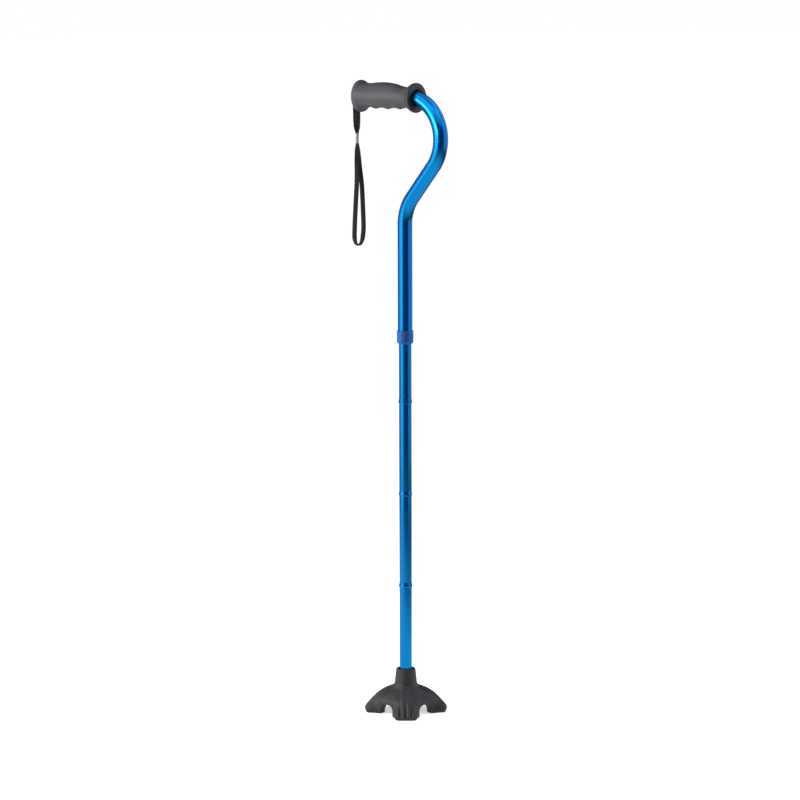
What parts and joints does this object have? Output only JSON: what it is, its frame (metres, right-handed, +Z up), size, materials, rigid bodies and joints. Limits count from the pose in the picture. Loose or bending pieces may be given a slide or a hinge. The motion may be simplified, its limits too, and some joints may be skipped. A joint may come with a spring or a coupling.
{
  "type": "quad walking cane",
  "caption": "Height-adjustable folding walking cane with a swan-neck handle, soft grip, wrist strap, sprung height button and a four-lobed self-standing rubber foot.",
  "frame": {"origin": "on the floor, at the middle of the cane's box in X and Y; the shaft's axis is 6.1 mm towards +X", "axes": "+Z up the shaft; the handle lies in the XZ plane, with the grip's free end towards -X and the neck's bulge towards +X; the height button faces +Y"},
  "size_m": [0.1905, 0.1108, 0.9658],
  "materials": {
    "anodised_tube": "bright blue anodised",
    "soft_grip": "matt grey, soft moulded",
    "black_plastic": "black moulded",
    "webbing": "black flat braid",
    "steel": "plated",
    "blue_plastic": "satin blue moulded",
    "white_plastic": "natural nylon",
    "bare_aluminium": "mill finish",
    "shock_cord": "black braided elastic",
    "foot_rubber": "matt charcoal rubber"
  },
  "bodies": {
    "foot": {"quad_foot": "foot_rubber", "socket_washer": "steel", "shaft_segment_4": "anodised_tube", "joint_spigot_3": "bare_aluminium", "cord_anchor_bottom": "black_plastic", "cord_crimp_bottom": "bare_aluminium", "elastic_cord_3": "shock_cord"},
    "segment_3": {"shaft_segment_3": "anodised_tube", "joint_spigot_2": "bare_aluminium", "elastic_cord_2": "shock_cord"},
    "segment_2": {"shaft_segment_2": "anodised_tube", "joint_spigot_1": "bare_aluminium", "elastic_cord_1": "shock_cord"},
    "segment_1": {"shaft_segment_1": "anodised_tube", "guide_bush": "black_plastic", "snap_spring": "steel", "cord_anchor_top": "black_plastic", "cord_crimp_top": "bare_aluminium"},
    "button": {"snap_button": "steel"},
    "handle": {"upper_tube": "anodised_tube", "hand_grip": "soft_grip", "tube_end_plug": "black_plastic", "lock_collet": "white_plastic"},
    "collar": {"lock_collar": "blue_plastic"},
    "strap": {"strap_run_near": "webbing", "strap_run_far": "webbing", "strap_loop": "webbing", "strap_ferrule": "steel"}
  },
  "joints": [
    {"name": "pull_joint_3", "type": "slide", "parent": "foot", "child": "segment_3", "axis": [0, 0, 1], "range_m": [0, 0.05], "stiffness_N_per_m": 250, "springref_m": -0.12, "deforming": ["elastic_cord_3"]},
    {"name": "pull_joint_2", "type": "slide", "parent": "segment_3", "child": "segment_2", "axis": [0, 0, 1], "range_m": [0, 0.05], "stiffness_N_per_m": 250, "springref_m": -0.12, "deforming": ["elastic_cord_2"]},
    {"name": "pull_joint_1", "type": "slide", "parent": "segment_2", "child": "segment_1", "axis": [0, 0, 1], "range_m": [0, 0.05], "stiffness_N_per_m": 250, "springref_m": -0.12, "deforming": ["elastic_cord_1"]},
    {"name": "height_slide", "type": "slide", "parent": "segment_1", "child": "handle", "axis": [0, 0, 1], "range_m": [-0.0635, 0.0127]},
    {"name": "collar_turn", "type": "hinge", "parent": "handle", "child": "collar", "pos_m": [0.0061, 0, 0.582], "axis": [0, 0, 1], "range_deg": [0, 270]},
    {"name": "button_press", "type": "slide", "parent": "segment_1", "child": "button", "axis": [0, -1, 0], "range_m": [0, 0.0035], "stiffness_N_per_m": 800, "springref_m": -0.002, "deforming": ["snap_spring"]},
    {"name": "strap_swing", "type": "hinge", "parent": "handle", "child": "strap", "pos_m": [-0.0919, 0, 0.9415], "axis": [1, 0, 0], "range_deg": [-75, 75]}
  ]
}
